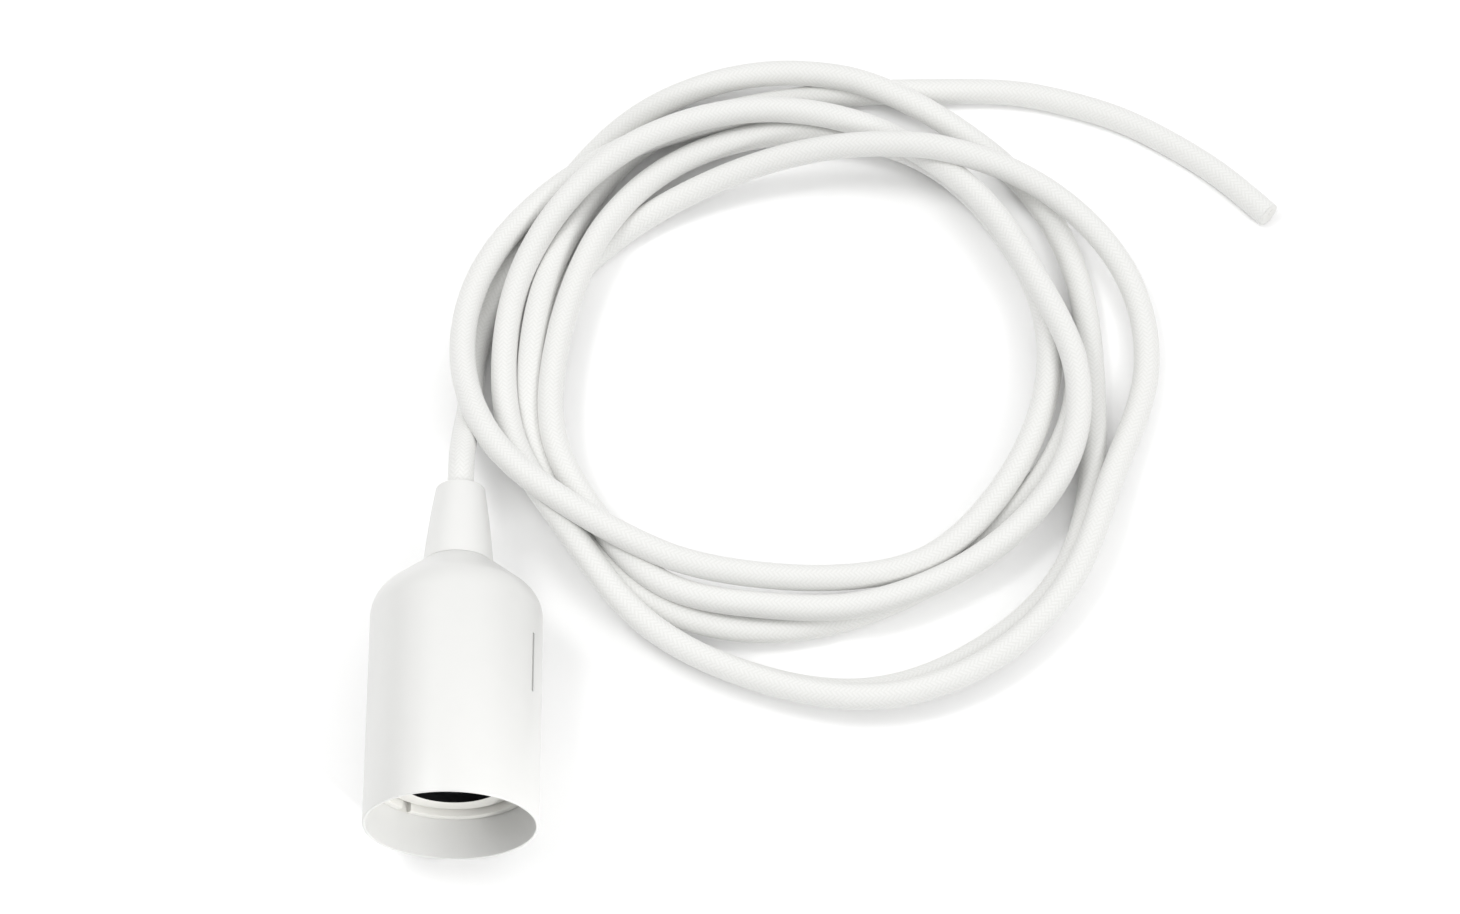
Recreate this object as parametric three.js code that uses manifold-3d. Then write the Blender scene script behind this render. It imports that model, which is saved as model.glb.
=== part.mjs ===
// A pendant cord set: a lamp holder for a 27 mm screw lamp, its cord grip, its contacts and its textile cord.
// Lengths are millimetres. The holder lies on its side, its axis along Y, its mouth towards -Y and its
// lowest line on Z = 0. Inside the holder a place is given as x, s, z: s runs along the axis from the mouth.

import * as THREE from "three";
import { mergeVertices } from "three/addons/utils/BufferGeometryUtils.js";
import Module from "manifold-3d";

const wasm = await Module();
wasm.setup();

const degrees = Math.PI / 180;

// Clearance between pieces that bear on each other
const gap = 0.3;

// Outer shell
const shellRadius = 22.5;
const shellWall = 2;
const straightLength = 58;
const shoulderRadius = 10;
const shoulderSlope = 50 * degrees;
const mouthRounding = 0.6;
const innerFloor = 2.5;
const slotStart = 33.5;
const slotLength = 16.5;
const slotWidth = 1;
const slotAngle = 66 * degrees;
const stopRibWidth = 1.6;
const stopRibDepth = 2.5;
const stopRibCount = 4;

// Neck at the back of the shell, and the tapered collar that screws over it
const neckRadius = 6.2;
const neckLength = 10;
const collarBaseRadius = 9.2;
const collarTipRadius = 6.6;
const collarLength = 22;
const collarBulge = 0.35;
const collarRounding = 0.7;
const collarLip = 2;
const jawLength = 6;
const jawSplit = 1;

// Cord
const cordDiameter = 7;
const coreDiameter = 2.4;
const conductorDiameter = 1.3;
const cordRecess = 3;
const sheathReach = 5;

// Sleeve that takes the lamp's thread
const rimStart = 10.3;
const rimWidth = 0.9;
const faceDepth = 1.8;
const flangeThickness = 2;
const sleeveBore = 13.4;
const sleeveWall = 2.2;
const sleeveLength = 26;
const boreChamfer = 0.7;
const keyNotchWidth = 3.4;
const keyNotchDepth = 3;
const keyNotchAngle = 219 * degrees;

// Contact block and the screws that pull it against the sleeve
const blockThickness = 7;
const blockBoss = 2;
const barrierThickness = 1.6;
const barrierHeight = 9;
const barrierWidth = 22;
const blockScrewRadius = 1.5;
const blockScrewHeadRadius = 2.6;
const blockScrewHeadHeight = 2;
const blockScrewGrip = 9;
const blockScrewAngle = slotAngle + 90 * degrees;
const screwPillarRadius = 2.7;

// Contacts, rivets and terminals
const leafThickness = 0.5;
const leafWidth = 5;
const leafFoot = 5;
const contactOffset = 7.5;
const centreContactRise = 4.5;
const centreContactReach = 2.4;
const shellContactRise = 7;
const shellContactRadius = 11.9;
const rivetRadius = 1.2;
const rivetHeadRadius = 1.9;
const rivetHeadHeight = 0.8;
const terminalWidth = 7;
const terminalHeight = 8;
const terminalLength = 9.4;
const terminalScrewRadius = 1.3;
const terminalScrewHeadRadius = 2.3;
const terminalScrewHeadHeight = 1.8;
const wireHoleDepth = 5.5;
const rivetHoleDepth = 2.4;
const screwSlotWidth = 0.7;
const screwSlotDepth = 0.8;

// Loose coil of the cord on the surface, in the part's own frame
const coilCentre = new THREE.Vector2(91, 92);
const coilInnerRadius = 60;
const coilOuterRadius = 97;
const coilHeight = 16;
const coilRounding = 6;

// Route of the cord where it isn't coiled: the lead out of the collar, then the tail with its cut end
const leadRoute = [
  [0, 45.1, 22.5],
  [0, 49, 22.5],
  [0, 53, 22.2],
  [0, 57, 21.1],
  [0, 60, 19.8],
  [0.1, 63.6, 17.9],
];
const tailRoute = [
  [132.4, 183.3, 3.6],
  [152.5, 182.4, 3.6],
  [166.4, 179.1, 3.6],
  [179.7, 174.2, 3.6],
  [193.3, 166.4, 3.6],
  [206.8, 156.3, 3.6],
  [220, 143.1, 3.6],
];

// Faces round a full turn, and steps along a route
const roundFaces = 64;
const smallFaces = 40;
const pinFaces = 20;
const cordSides = 10;
const coreSides = 8;

// Sizes and places that follow from the ones above
const shellBore = shellRadius - shellWall;
const shoulderCentre = shellRadius - shoulderRadius;
const coneTopRadius = shoulderCentre + shoulderRadius * Math.cos(shoulderSlope);
const coneTop = straightLength + shoulderRadius * Math.sin(shoulderSlope);
const seat = coneTop + (coneTopRadius - collarBaseRadius) / Math.tan(shoulderSlope);
const neckTop = seat + neckLength;
const neckBore = cordDiameter / 2 + 2 * gap;
const collarBottom = seat + gap;
const collarTop = collarBottom + collarLength;
const collarHole = cordDiameter / 2 + 1.5 * gap;
const collarBore = neckRadius + gap;
const collarConeStart = neckTop + gap;
const collarConeEnd = collarTop - collarLip;
const sleeveFace = rimStart + faceDepth;
const flangeBack = sleeveFace + flangeThickness;
const sleeveEnd = sleeveFace + sleeveLength;
const sleeveRadius = sleeveBore + sleeveWall;
const rimRadius = shellBore - gap;
const blockScrewCircle = shellBore - screwPillarRadius - 2 * gap;
const blockFront = sleeveEnd + gap;
const blockBack = blockFront + blockThickness;
const bossFront = blockFront - blockBoss;
const blockRadius = shellBore - 3 * gap;
const leafBack = bossFront - gap;
const leafFront = leafBack - leafThickness;
const terminalFront = blockBack + gap;
const terminalBack = terminalFront + terminalLength;
const wireHoleRadius = conductorDiameter / 2 + 1.5 * gap;
const terminalScrewPlace = terminalBack - wireHoleDepth / 2;
const sheathEnd = seat - innerFloor - sheathReach;
const holderLength = collarTop;

const white = { color: 0xf2f1ee, roughness: 0.35, metalness: 0 };
const materials = {
  shellPlastic: new THREE.MeshStandardMaterial(white),
  collarPlastic: new THREE.MeshStandardMaterial({ ...white, roughness: 0.45 }),
  sleevePlastic: new THREE.MeshStandardMaterial({ color: 0xe9e7e2, roughness: 0.5, metalness: 0 }),
  brass: new THREE.MeshStandardMaterial({ color: 0xc9a557, roughness: 0.35, metalness: 1 }),
  steel: new THREE.MeshStandardMaterial({ color: 0xb9bcbf, roughness: 0.35, metalness: 1 }),
  copper: new THREE.MeshStandardMaterial({ color: 0xb8714a, roughness: 0.4, metalness: 1 }),
  textile: new THREE.MeshStandardMaterial({ color: 0xf4f3f1, roughness: 0.9, metalness: 0 }),
  brownCore: new THREE.MeshStandardMaterial({ color: 0x6b4327, roughness: 0.5, metalness: 0 }),
  blueCore: new THREE.MeshStandardMaterial({ color: 0x2f5f9e, roughness: 0.5, metalness: 0 }),
};

// A closed geometry as a solid that can be joined and cut
function solidOf(geometry) {
  const bare = geometry.index ? geometry.toNonIndexed() : geometry.clone();
  bare.deleteAttribute("normal");
  bare.deleteAttribute("uv");
  const merged = mergeVertices(bare, 1e-4);
  return new wasm.Manifold(
    new wasm.Mesh({
      numProp: 3,
      vertProperties: merged.attributes.position.array,
      triVerts: new Uint32Array(merged.index.array),
    }),
  );
}

// A solid back as a geometry with flat faces
function geometryOf(solid) {
  const mesh = solid.getMesh();
  const geometry = new THREE.BufferGeometry();
  geometry.setAttribute("position", new THREE.BufferAttribute(mesh.vertProperties, 3));
  geometry.setIndex(new THREE.BufferAttribute(mesh.triVerts, 1));
  const flat = geometry.toNonIndexed();
  flat.computeVertexNormals();
  return flat;
}

// Points on an arc round (r, s), from one angle to another, both ends included
function arc(r, s, radius, from, to, steps) {
  const points = [];
  for (let i = 0; i <= steps; i += 1) {
    const angle = from + ((to - from) * i) / steps;
    points.push([r + radius * Math.cos(angle), s + radius * Math.sin(angle)]);
  }
  return points;
}

// A closed profile of [radius, s] turned round the axis. It runs counterclockwise, whichever way it is given
function revolve(profile, faces) {
  const points = profile.map(([r, s]) => new THREE.Vector2(r, s));
  if (THREE.ShapeUtils.area(points) < 0) {
    points.reverse();
  }
  points.push(points[0].clone());
  return new THREE.LatheGeometry(points, faces);
}

// A round bar along the axis, between two places on it
function bar(radius, from, to, x, z, faces) {
  const geometry = new THREE.CylinderGeometry(radius, radius, to - from, faces);
  return geometry.translate(x, (from + to) / 2, z);
}

// A round bar along x
function crossBar(radius, from, to, s, z, faces) {
  const geometry = new THREE.CylinderGeometry(radius, radius, Math.abs(to - from), faces);
  return geometry.rotateZ(Math.PI / 2).translate((from + to) / 2, s, z);
}

// A block between two corners
function block(low, high) {
  const size = high.map((value, i) => value - low[i]);
  const middle = high.map((value, i) => (value + low[i]) / 2);
  return new THREE.BoxGeometry(...size).translate(...middle);
}

// A geometry turned round the holder's axis, from straight up towards +x
function turned(geometry, angle) {
  return geometry.clone().rotateY(angle);
}

// A round section carried along a route
function tube(route, radius, sides, steps) {
  const section = new THREE.Shape();
  section.absarc(0, 0, radius, 0, 2 * Math.PI);
  const path = new THREE.CatmullRomCurve3(route.map((point) => new THREE.Vector3(...point)));
  return new THREE.ExtrudeGeometry(section, {
    steps,
    curveSegments: sides / 2,
    extrudePath: path,
    bevelEnabled: false,
  });
}

// One moulding: a straight skirt, a rounded shoulder that runs into a cone, and the neck for the collar
function outerShell() {
  const skin = shellWall;
  const outside = [
    [shellBore + mouthRounding / 2, 0],
    [shellRadius - mouthRounding, 0],
    [shellRadius - 0.3 * mouthRounding, 0.3 * mouthRounding],
    [shellRadius, mouthRounding],
    ...arc(shoulderCentre, straightLength, shoulderRadius, 0, shoulderSlope, 7),
    [collarBaseRadius, seat],
    [neckRadius, seat],
    [neckRadius, neckTop],
    [neckBore, neckTop],
  ];
  const floor = seat - innerFloor;
  const innerArc = arc(shoulderCentre, straightLength, shoulderRadius - skin, shoulderSlope, 0, 5);
  const [coneRadius, coneStart] = innerArc[0];
  const inside = [
    [neckBore, floor],
    [coneRadius - (floor - coneStart) * Math.tan(shoulderSlope), floor],
    ...innerArc,
    [shellBore, mouthRounding / 2],
  ];
  let shell = solidOf(revolve([...outside, ...inside], roundFaces));
  const cutter = block(
    [-slotWidth / 2, slotStart, shellBore - 2],
    [slotWidth / 2, slotStart + slotLength, shellRadius + 2],
  );
  for (const angle of [slotAngle, slotAngle + Math.PI]) {
    shell = shell.subtract(solidOf(turned(cutter, angle)));
  }
  const rib = block(
    [-stopRibWidth / 2, terminalFront, shellBore - stopRibDepth],
    [stopRibWidth / 2, straightLength, shellRadius - shellWall / 2],
  );
  for (let i = 0; i < stopRibCount; i += 1) {
    const angle = blockScrewAngle + ((i + 0.5) * 2 * Math.PI) / stopRibCount;
    shell = shell.add(solidOf(turned(rib, angle)));
  }
  return geometryOf(shell);
}

// Radius of the collar's inside cone at a place on the axis
function collarCone(s) {
  const share = (s - collarConeStart) / (collarConeEnd - collarConeStart);
  return collarBore + (collarHole - collarBore) * share;
}

// The tapered nut, a little fuller at the middle, that closes the jaws on the cord
function gripCollar() {
  const outside = new THREE.QuadraticBezierCurve(
    new THREE.Vector2(collarBaseRadius, collarBottom),
    new THREE.Vector2(
      (collarBaseRadius + collarTipRadius) / 2 + collarBulge,
      (collarBottom + collarTop) / 2,
    ),
    new THREE.Vector2(collarTipRadius, collarTop - collarRounding),
  );
  const profile = [
    ...outside.getPoints(6).map((point) => [point.x, point.y]),
    ...arc(
      collarTipRadius - collarRounding,
      collarTop - collarRounding,
      collarRounding,
      30 * degrees,
      90 * degrees,
      2,
    ),
    [collarHole + gap, collarTop],
    [collarHole, collarTop - gap],
    [collarHole, collarConeEnd],
    [collarBore, collarConeStart],
    [collarBore, collarBottom],
  ];
  return revolve(profile, roundFaces);
}

// One of the two half rings between the neck and the collar's cone
function gripJaw() {
  const bottom = neckTop + gap;
  const top = bottom + jawLength;
  const profile = [
    [cordDiameter / 2 + gap, bottom],
    [collarCone(bottom) - 1.2 * gap, bottom],
    [collarCone(top) - 1.2 * gap, top],
    [cordDiameter / 2 + gap, top],
  ];
  const reach = collarBaseRadius;
  const other = block([-reach, bottom - 1, -reach], [jawSplit / 2, top + 1, reach]);
  return geometryOf(solidOf(revolve(profile, smallFaces)).subtract(solidOf(other)));
}

// Moulded sleeve: a raised rim in the shell, a sunk face, the lamp's bore and two screw pillars
function threadSleeve() {
  const profile = [
    [rimRadius - rimWidth, rimStart],
    [rimRadius, rimStart],
    [rimRadius, flangeBack],
    [sleeveRadius, flangeBack],
    [sleeveRadius, sleeveEnd],
    [sleeveBore, sleeveEnd],
    [sleeveBore, sleeveFace + boreChamfer],
    [sleeveBore + boreChamfer, sleeveFace],
    [rimRadius - rimWidth, sleeveFace],
  ];
  let sleeve = solidOf(revolve(profile, roundFaces));
  const pillar = bar(screwPillarRadius, flangeBack - flangeThickness / 2, sleeveEnd, 0, blockScrewCircle, pinFaces);
  const pilot = bar(
    blockScrewRadius + gap,
    sleeveEnd - blockScrewGrip - gap,
    sleeveEnd + 1,
    0,
    blockScrewCircle,
    pinFaces,
  );
  const clearance = solidOf(bar(sleeveBore, sleeveFace + boreChamfer, sleeveEnd + 1, 0, 0, roundFaces));
  const notch = block(
    [-keyNotchWidth / 2, rimStart - 1, rimRadius - rimWidth - keyNotchDepth],
    [keyNotchWidth / 2, flangeBack + 1, rimRadius - rimWidth],
  );
  for (const half of [0, Math.PI]) {
    sleeve = sleeve.add(solidOf(turned(pillar, blockScrewAngle + half)));
  }
  sleeve = sleeve.subtract(clearance);
  for (const half of [0, Math.PI]) {
    sleeve = sleeve.subtract(solidOf(turned(pilot, blockScrewAngle + half)));
    sleeve = sleeve.subtract(solidOf(turned(notch, keyNotchAngle + half)));
  }
  return geometryOf(sleeve);
}

// Insulating block: a disc behind the sleeve, a boss in its bore and a barrier between the terminals
function contactBlock() {
  const profile = [
    [0, bossFront],
    [sleeveBore - gap, bossFront],
    [sleeveBore - gap, blockFront],
    [blockRadius, blockFront],
    [blockRadius, blockBack],
    [0, blockBack],
  ];
  const points = profile.map(([r, s]) => new THREE.Vector2(r, s));
  let body = solidOf(new THREE.LatheGeometry(points, roundFaces));
  const barrier = block(
    [-barrierThickness / 2, blockBack - 1, -barrierWidth / 2],
    [barrierThickness / 2, blockBack + barrierHeight, barrierWidth / 2],
  );
  body = body.add(solidOf(barrier));
  const screwHole = bar(blockScrewRadius + gap, blockFront - 1, blockBack + 1, 0, blockScrewCircle, pinFaces);
  for (const half of [0, Math.PI]) {
    body = body.subtract(solidOf(turned(screwHole, blockScrewAngle + half)));
  }
  for (const side of [-1, 1]) {
    const hole = bar(rivetRadius + gap, bossFront - 1, blockBack + 1, side * contactOffset, 0, pinFaces);
    body = body.subtract(solidOf(hole));
  }
  return geometryOf(body);
}

// A strip leaf: its edge line as [x, s] is given on one side, and it is cut across its width
function leaf(outline, footX) {
  const shape = new THREE.Shape(outline.map(([x, s]) => new THREE.Vector2(x, s)));
  const strip = new THREE.ExtrudeGeometry(shape, { depth: leafWidth, steps: 1, bevelEnabled: false });
  strip.translate(0, 0, -leafWidth / 2);
  const hole = bar(rivetRadius + gap, leafFront - 1, leafBack + 1, footX, 0, pinFaces);
  return geometryOf(solidOf(strip).subtract(solidOf(hole)));
}

// Sprung leaf that rises from its foot to meet the lamp's tip
function centreContact() {
  const foot = -contactOffset;
  const bend = foot + leafFoot / 2;
  const tip = leafFront - centreContactRise;
  return leaf(
    [
      [foot - leafFoot / 2, leafBack],
      [foot - leafFoot / 2, leafFront],
      [bend - leafThickness / 2, leafFront],
      [-centreContactReach / 2, tip],
      [centreContactReach / 2, tip],
      [centreContactReach, tip + 2 * leafThickness],
      [centreContactReach, tip + 3.5 * leafThickness],
      [centreContactReach / 2, tip + leafThickness],
      [-centreContactReach / 2 + leafThickness / 2, tip + leafThickness],
      [bend, leafBack],
    ],
    foot,
  );
}

// Bent leaf that stands along the bore and meets the side of the lamp's cap
function shellContact() {
  const foot = contactOffset;
  const back = shellContactRadius;
  const top = leafFront - shellContactRise;
  return leaf(
    [
      [foot - leafFoot / 2, leafBack],
      [back, leafBack],
      [back, top + leafThickness],
      [back - 2 * leafThickness, top],
      [back - 3 * leafThickness, top + leafThickness],
      [back - leafThickness, top + 3 * leafThickness],
      [back - leafThickness, leafFront],
      [foot - leafFoot / 2, leafFront],
    ],
    foot,
  );
}

// Rivet through a leaf and the block into the terminal behind it
function rivet() {
  const headBack = leafFront - gap;
  const shank = bar(rivetRadius, headBack - rivetHeadHeight / 2, terminalFront + rivetHoleDepth - gap, 0, 0, pinFaces);
  const head = new THREE.CylinderGeometry(rivetHeadRadius, rivetHeadRadius * 0.7, rivetHeadHeight, pinFaces);
  head.translate(0, headBack - rivetHeadHeight / 2, 0);
  return geometryOf(solidOf(shank).add(solidOf(head)));
}

// Brass terminal, drilled from behind for the wire, from the side for its screw and in front for the rivet
function terminal() {
  const half = terminalWidth / 2;
  const body = block(
    [-half, terminalFront, -terminalHeight / 2],
    [half, terminalBack, terminalHeight / 2],
  );
  const cuts = [
    bar(rivetRadius + gap, terminalFront - 1, terminalFront + rivetHoleDepth, 0, 0, pinFaces),
    bar(wireHoleRadius, terminalBack - wireHoleDepth, terminalBack + 1, 0, 0, pinFaces),
    crossBar(terminalScrewRadius + gap, 0, half + 1, terminalScrewPlace, 0, pinFaces),
  ];
  let made = solidOf(body);
  for (const cut of cuts) {
    made = made.subtract(solidOf(cut));
  }
  return geometryOf(made);
}

// Clamp screw of a terminal: it enters from the side and stops just short of the wire
function terminalScrew() {
  const half = terminalWidth / 2;
  const headStart = half + gap;
  const headEnd = headStart + terminalScrewHeadHeight;
  const shank = crossBar(
    terminalScrewRadius,
    conductorDiameter / 2 + gap,
    headStart + terminalScrewHeadHeight / 2,
    terminalScrewPlace,
    0,
    pinFaces,
  );
  const head = crossBar(terminalScrewHeadRadius, headStart, headEnd, terminalScrewPlace, 0, pinFaces);
  const reach = terminalScrewHeadRadius + 1;
  const slot = block(
    [headEnd - screwSlotDepth, terminalScrewPlace - screwSlotWidth / 2, -reach],
    [headEnd + 1, terminalScrewPlace + screwSlotWidth / 2, reach],
  );
  return geometryOf(solidOf(shank).add(solidOf(head)).subtract(solidOf(slot)));
}

// Screw through the block into a pillar of the sleeve
function blockScrew() {
  const headStart = blockBack + gap;
  const headEnd = headStart + blockScrewHeadHeight;
  const shank = bar(
    blockScrewRadius,
    sleeveEnd - blockScrewGrip,
    headStart + blockScrewHeadHeight / 2,
    0,
    blockScrewCircle,
    pinFaces,
  );
  const head = bar(blockScrewHeadRadius, headStart, headEnd, 0, blockScrewCircle, pinFaces);
  const reach = blockScrewHeadRadius + 1;
  const slot = block(
    [-reach, headEnd - screwSlotDepth, blockScrewCircle - screwSlotWidth / 2],
    [reach, headEnd + 1, blockScrewCircle + screwSlotWidth / 2],
  );
  return geometryOf(solidOf(shank).add(solidOf(head)).subtract(solidOf(slot)));
}

// Insulated core from the end of the sheath to a terminal, with a little slack to one side
function core(side) {
  const start = side * (coreDiameter / 2 + gap);
  const end = side * contactOffset;
  const first = sheathEnd - gap;
  const last = terminalBack + gap;
  const along = (share) => first + (last - first) * share;
  const slack = coreDiameter;
  return tube(
    [
      [start, first, 0],
      [start, along(0.14), 0],
      [(start + end) / 2, along(0.5), side * slack],
      [end, along(0.86), 0],
      [end, last, 0],
    ],
    coreDiameter / 2,
    coreSides,
    12,
  );
}

// The closed ring that the loose turns of the cord fill
function cordCoil() {
  const inner = coilInnerRadius;
  const outer = coilOuterRadius;
  const round = coilRounding;
  const profile = [
    [inner, 0],
    [outer, 0],
    ...arc(outer - round, coilHeight - round, round, 0, 90 * degrees, 4),
    ...arc(inner + round, coilHeight - round, round, 90 * degrees, 180 * degrees, 4),
  ];
  return revolve(profile, roundFaces).rotateX(Math.PI / 2);
}

function named(name, geometry, material) {
  const mesh = new THREE.Mesh(geometry, material);
  mesh.name = name;
  return mesh;
}

// The holder is built along its own axis, then laid on its side
function lampHolder() {
  const holder = new THREE.Group();
  holder.position.set(0, -holderLength / 2, shellRadius);
  holder.add(named("outer_shell", outerShell(), materials.shellPlastic));
  holder.add(named("grip_collar", gripCollar(), materials.collarPlastic));
  holder.add(named("thread_sleeve", threadSleeve(), materials.sleevePlastic));
  holder.add(named("contact_block", contactBlock(), materials.sleevePlastic));
  holder.add(named("centre_contact", centreContact(), materials.brass));
  holder.add(named("shell_contact", shellContact(), materials.brass));

  const cordStart = holderLength - cordRecess - gap;
  const sheath = bar(cordDiameter / 2, sheathEnd, cordStart, 0, 0, smallFaces);
  holder.add(named("cord_end_sheath", sheath, materials.textile));

  const sides = [
    { name: "live", side: -1, core: materials.brownCore, jaw: "left", screw: "lower", half: 0 },
    { name: "neutral", side: 1, core: materials.blueCore, jaw: "right", screw: "upper", half: Math.PI },
  ];
  for (const { name, side, core: colour, jaw, screw, half } of sides) {
    const towards = side > 0 ? 0 : Math.PI;
    const place = (mesh) => {
      mesh.position.x = side * contactOffset;
      mesh.rotation.y = towards;
      holder.add(mesh);
    };
    place(named(`terminal_${name}`, terminal(), materials.brass));
    place(named(`terminal_screw_${name}`, terminalScrew(), materials.steel));
    place(named(`rivet_${name}`, rivet(), materials.brass));
    const wire = bar(
      conductorDiameter / 2,
      terminalBack - wireHoleDepth + gap,
      terminalBack,
      0,
      0,
      coreSides,
    );
    place(named(`conductor_${name}`, wire, materials.copper));
    holder.add(named(`core_${name}`, core(side), colour));

    const clamp = named(`grip_jaw_${jaw}`, gripJaw(), materials.collarPlastic);
    clamp.rotation.y = towards;
    holder.add(clamp);

    const fixing = named(`block_screw_${screw}`, blockScrew(), materials.steel);
    fixing.rotation.y = blockScrewAngle + half;
    holder.add(fixing);
  }
  return holder;
}

// The cord outside the holder
function freeCord() {
  const cord = new THREE.Group();
  const radius = cordDiameter / 2;
  cord.add(named("cord_lead", tube(leadRoute, radius, cordSides, 6), materials.textile));
  const coil = named("cord_coil", cordCoil(), materials.textile);
  coil.position.set(coilCentre.x, coilCentre.y, 0);
  cord.add(coil);
  cord.add(named("cord_tail", tube(tailRoute, radius, cordSides, 8), materials.textile));
  return cord;
}

const cordSet = new THREE.Group();
cordSet.add(lampHolder());
cordSet.add(freeCord());

export default cordSet;
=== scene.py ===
import bmesh
import bpy
import numpy as np
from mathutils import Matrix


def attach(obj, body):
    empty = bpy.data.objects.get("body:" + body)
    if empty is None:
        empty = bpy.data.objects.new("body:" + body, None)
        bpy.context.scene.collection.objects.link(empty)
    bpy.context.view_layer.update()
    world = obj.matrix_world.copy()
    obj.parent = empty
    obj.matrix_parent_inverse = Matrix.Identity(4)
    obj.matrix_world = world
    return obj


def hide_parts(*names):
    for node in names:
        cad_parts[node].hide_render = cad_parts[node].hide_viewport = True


# A white pendant lamp holder on its side with its textile cord in a loose coil, on a white table.
# Lengths in the settings are millimetres, and everything put into a mesh is metres.
# Inside the holder a place is given by s, its distance from the mouth along the axis.

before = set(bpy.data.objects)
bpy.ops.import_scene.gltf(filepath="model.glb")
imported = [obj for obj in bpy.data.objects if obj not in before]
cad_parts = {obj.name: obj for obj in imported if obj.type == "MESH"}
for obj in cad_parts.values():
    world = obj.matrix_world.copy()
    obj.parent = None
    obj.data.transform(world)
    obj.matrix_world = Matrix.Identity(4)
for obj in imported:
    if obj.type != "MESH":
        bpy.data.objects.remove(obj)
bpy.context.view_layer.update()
mm = 0.001
print("frame loaded, nodes:", len(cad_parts))

# The camera looks down on the table from the mouth's side
camera = {
    "place": (0.0711, -0.5189, 1.1302),
    "tilt": 27.5,  # degrees from straight down
    "lens": 116.3,
}
cameraData = bpy.data.cameras.new("camera")
cameraData.lens = camera["lens"]
cameraData.sensor_width = 36.0
cameraData.clip_end = 20.0
cameraObject = bpy.data.objects.new("camera", cameraData)
cameraObject.location = camera["place"]
cameraObject.rotation_euler = (np.radians(camera["tilt"]), 0.0, 0.0)
bpy.context.scene.collection.objects.link(cameraObject)
bpy.context.scene.camera = cameraObject


# A smooth curve through points: cubic pieces whose second derivatives match where they meet
def splineThrough(knots, values, at):
    knots, values, at = (np.asarray(x, float) for x in (knots, values, at))
    values = values.reshape(len(knots), -1)
    gap = np.diff(knots)
    slope = np.diff(values, axis=0) / gap[:, None]
    inner = np.arange(1, len(knots) - 1)
    system = np.eye(len(knots))
    system[inner, inner - 1] = gap[:-1]
    system[inner, inner] = 2 * (gap[:-1] + gap[1:])
    system[inner, inner + 1] = gap[1:]
    right = np.zeros_like(values)
    right[1:-1] = 6 * np.diff(slope, axis=0)
    bend = np.linalg.solve(system, right)
    k = np.clip(np.searchsorted(knots, at) - 1, 0, len(knots) - 2)
    t = (at - knots[k])[:, None]
    h = gap[k][:, None]
    first = slope[k] - h * (2 * bend[k] + bend[k + 1]) / 6
    return values[k] + t * first + t**2 * bend[k] / 2 + t**3 * (bend[k + 1] - bend[k]) / (6 * h)


# Distances along a line of points, from its first one
def alongLine(points):
    return np.concatenate([[0], np.cumsum(np.linalg.norm(np.diff(points, axis=0), axis=1))])


# The cord: out of the collar, a little over five loose turns, and a tail that is cut square
cord = {
    "diameter": 7.0,
    "lead": [
        (0, 45.1, 22.5), (0, 49, 22.5), (0, 53, 22.2), (0, 57, 21.1), (0, 60, 19.8), (0.1, 63.6, 17.9),
    ],
    "drop": [(0.3, 70, 13.7), (0.7, 76.5, 9.2), (1.1, 83.5, 5.9)],
    "tail": [
        (132.4, 183.3, 3.6), (152.5, 182.4, 3.6), (166.4, 179.1, 3.6), (179.7, 174.2, 3.6),
        (193.3, 166.4, 3.6), (206.8, 156.3, 3.6), (220, 143.1, 3.6),
    ],
    "centre": (91, 92),
    "angleStep": 20,  # degrees, clockwise seen from above, from the side of the holder
    "turns": [  # distances from the centre, one turn a row
        [90, 87.5, 88, 94, 95.5, 92, 88, 85.5, 81, 78.5, 82.5, 90.5, 94, 95, 90, 84.5, 77.5, 78.5],
        [76.5, 72, 67.5, 64.5, 64, 66, 72, 84, 93.5, 93, 88.5, 94, 99, 99, 93, 88, 81.5, 81.5],
        [81, 82, 82, 81, 79.5, 76, 71.5, 68.5, 67.4, 72.7, 76, 74.5, 73, 73, 73.5, 77, 73, 71],
        [67.5, 67, 70, 73.5, 75, 75, 73.5, 70, 68, 66.5, 64.5, 64.5, 66, 64.5, 65.5, 71, 77.5, 87],
        [92, 92, 87.5, 83.5, 81.5, 80, 76.5, 72, 70.5, 74, 72.3, 69, 70, 73, 78, 81, 78.5, 76.5],
        [74, 75, 79.5, 86, 87, 92],
    ],
    # Which stretch lies above which where two cross: (degrees along the coil, layer)
    "layers": [
        (-20, 1), (390, 1), (440, 9), (695, 9), (710, 8), (1040, 8), (1080, 5), (1260, 5),
        (1380, 10), (1440, 10), (1460, 4), (1780, 4), (1790, 3), (1828, 3), (1848, 0), (2000, 0),
    ],
    "leadDegrees": (-20, -5),  # what the lead and the drop count as, to find their layer
    "tailDegrees": 10,  # and each point of the tail
    "contact": 6.5,  # centre to centre where two stretches press on each other
    "neighbours": 25,  # stretches nearer than this along the cord don't cross
    "sampleStep": 1.5,
    "stiffness": 9.0,
    "spread": 60,  # samples each way that a bump reaches
    "sag": 0.05,  # how far it falls in each round
    "rounds": 600,
    "lifts": 6,  # in each round
    "window": 13,  # samples that the last smoothing runs over
    "blend": 12,  # samples over which it starts behind the lead
    "shortest": 0.4,  # the last step along the line is at least this long
    "ringStep": 1.0,
    "sides": 24,
}


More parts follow.
